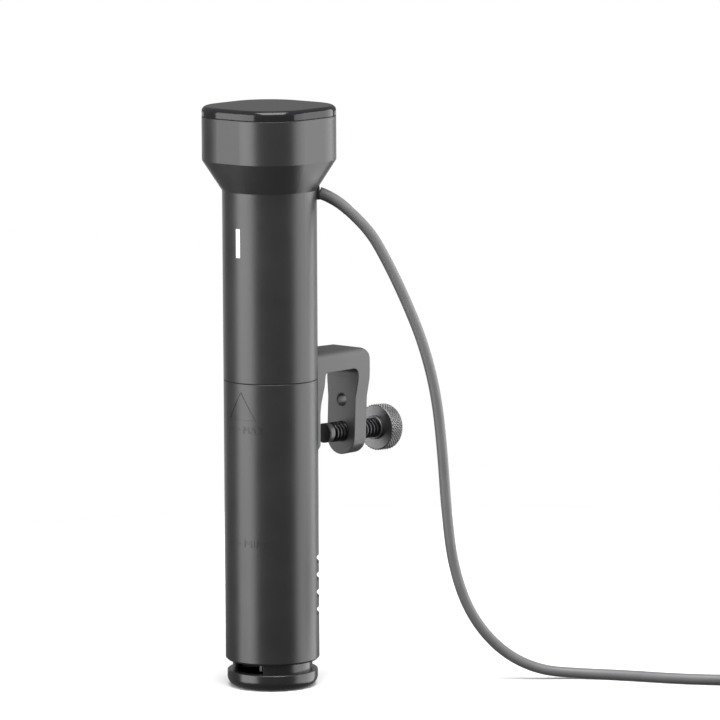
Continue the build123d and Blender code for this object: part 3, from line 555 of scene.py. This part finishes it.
def nurbs(name, points, radius):
    """A round tube along a smooth spline. Its points carry the radius, and the bevel is one metre."""
    curve = bpy.data.curves.new(name, "CURVE")
    curve.dimensions = "3D"
    spline = curve.splines.new("NURBS")
    spline.points.add(len(points) - 1)
    for point, place in zip(spline.points, points):
        point.co = (*place, 1.0)
        point.radius = radius
    spline.order_u = 3
    spline.use_endpoint_u = True
    spline.resolution_u = 8
    curve.bevel_depth = 1.0
    curve.bevel_resolution = 6
    curve.use_fill_caps = True
    obj = bpy.data.objects.new(name, curve)
    bpy.context.scene.collection.objects.link(obj)
    return obj


def make_cord():
    cord = nurbs("cord", cord_points(), CORD_R)
    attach(cord, "housing")
    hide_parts("mains_cord", "cord_coil", "cord_tail")
    cord.data.materials.append(MATERIALS["cord_sheath"])


# ---------------------------------------------------------------- stage

def round_the_object(azimuth, distance, high):
    """A point at an azimuth to the right of the camera's, in degrees."""
    turn = CAMERA_AZIMUTH + math.radians(azimuth)
    return Vector((math.sin(turn) * distance, -math.cos(turn) * distance, high))


def aim(obj, target, roll=0.0):
    obj.rotation_mode = "QUATERNION"
    facing = (target - obj.location).to_track_quat("-Z", "Y")
    obj.rotation_quaternion = facing @ Matrix.Rotation(roll, 4, "Z").to_quaternion()


def make_camera():
    data = bpy.data.cameras.new("camera")
    camera = bpy.data.objects.new("camera", data)
    bpy.context.scene.collection.objects.link(camera)
    camera.location = round_the_object(0, CAMERA_DISTANCE, CAMERA_HEIGHT)
    across = round_the_object(90, LOOK_ACROSS, 0)
    target = across + Vector((0, 0, LOOK_HIGH))
    aim(camera, target, -CAMERA_ROLL)
    data.sensor_width = SENSOR
    data.lens = SENSOR * (target - camera.location).length / PICTURE_WIDTH
    data.clip_start = 0.1
    data.clip_end = 50
    bpy.context.scene.camera = camera


def soft_box(name, azimuth, distance, high, width, length, power):
    data = bpy.data.lights.new(name, "AREA")
    data.shape = "RECTANGLE"
    data.size = width
    data.size_y = length
    data.energy = power
    light = bpy.data.objects.new(name, data)
    bpy.context.scene.collection.objects.link(light)
    light.location = round_the_object(azimuth, distance, high)
    light.visible_camera = False
    aim(light, LIGHTS_AIM)


def make_world():
    world = bpy.data.worlds.new("studio")
    bpy.context.scene.world = world
    world.use_nodes = True
    tree = world.node_tree
    seen = tree.nodes.new("ShaderNodeBackground")
    seen.inputs["Color"].default_value = (1, 1, 1, 1)
    seen.inputs["Strength"].default_value = 1.0
    room = tree.nodes["Background"]
    room.inputs["Color"].default_value = (1, 1, 1, 1)
    room.inputs["Strength"].default_value = ROOM_LIGHT
    rays = tree.nodes.new("ShaderNodeLightPath")
    mix = tree.nodes.new("ShaderNodeMixShader")
    tree.links.new(rays.outputs["Is Camera Ray"], mix.inputs["Fac"])
    tree.links.new(room.outputs["Background"], mix.inputs[1])
    tree.links.new(seen.outputs["Background"], mix.inputs[2])
    tree.links.new(mix.outputs["Shader"], tree.nodes["World Output"].inputs["Surface"])


def make_floor():
    bpy.ops.mesh.primitive_circle_add(vertices=128, radius=FLOOR_R, fill_type="NGON")
    floor = bpy.context.object
    floor.name = "floor"
    floor.location = FLOOR_PLACE
    floor.visible_glossy = False
    floor.visible_diffuse = False
    n = Nodes("floor_white")
    darker, lighter = FLOOR_SHADES
    tone = n.ramp(n.noise(3.0), [(0.0, (darker,) * 3), (1.0, (lighter,) * 3)])
    floor.data.materials.append(n.surface(colour=tone, rough=0.9, specular=0.1))


def make_stage():
    make_world()
    make_floor()
    for name, values in SOFT_BOXES.items():
        soft_box(name, *values)
    bpy.context.scene.view_settings.view_transform = "Standard"


MATERIALS = make_materials()
make_camera()
make_cord()
make_screw()
make_knob()
make_marks()
make_stage()
